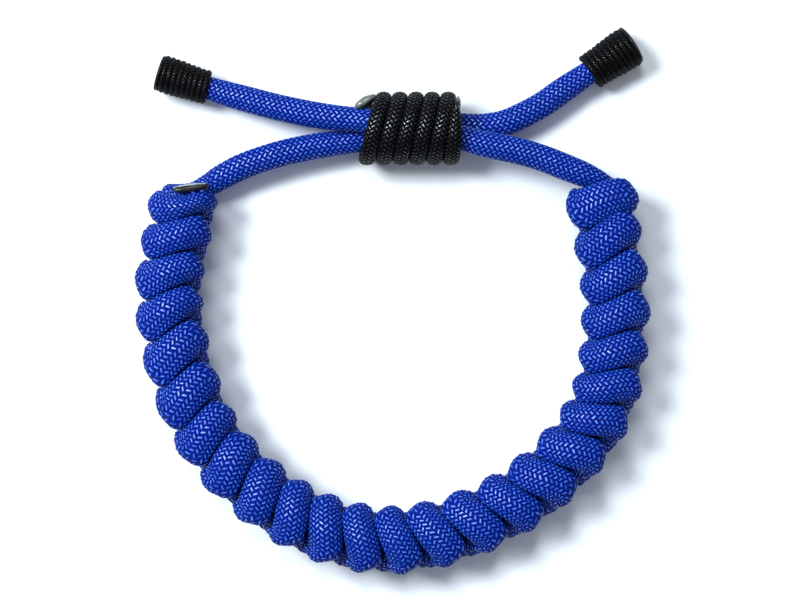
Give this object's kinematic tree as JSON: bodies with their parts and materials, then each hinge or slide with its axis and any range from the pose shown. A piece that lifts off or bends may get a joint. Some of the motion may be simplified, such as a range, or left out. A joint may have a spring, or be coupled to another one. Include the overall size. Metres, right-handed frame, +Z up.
{
  "type": "rope bracelet",
  "caption": "Adjustable rope bracelet: a thick sennit of braided cord bent into a ring, closed by its draw cords in a sliding knot, with whipped tail ends.",
  "frame": {"origin": "centre of the object's box, on the surface that the bracelet lies on", "axes": "+Z up through the wrist opening, +Y from the front of the sennit towards the sliding knot"},
  "size_m": [0.0788, 0.0844, 0.0119],
  "materials": {
    "blue_cord": "braided nylon with a slight sheen",
    "black_cord": "fine braided nylon with a slight sheen",
    "black_whipping": "wound fine cord, melted at its end",
    "melted_cord": "glossy melted nylon"
  },
  "bodies": {
    "root": {"strand_a": "blue_cord", "strand_b": "blue_cord", "slide_knot": "black_cord", "knot_end_left": "melted_cord", "knot_end_right": "melted_cord", "end_whipping_left": "black_whipping", "end_whipping_right": "black_whipping", "melted_end": "melted_cord"}
  },
  "joints": []
}
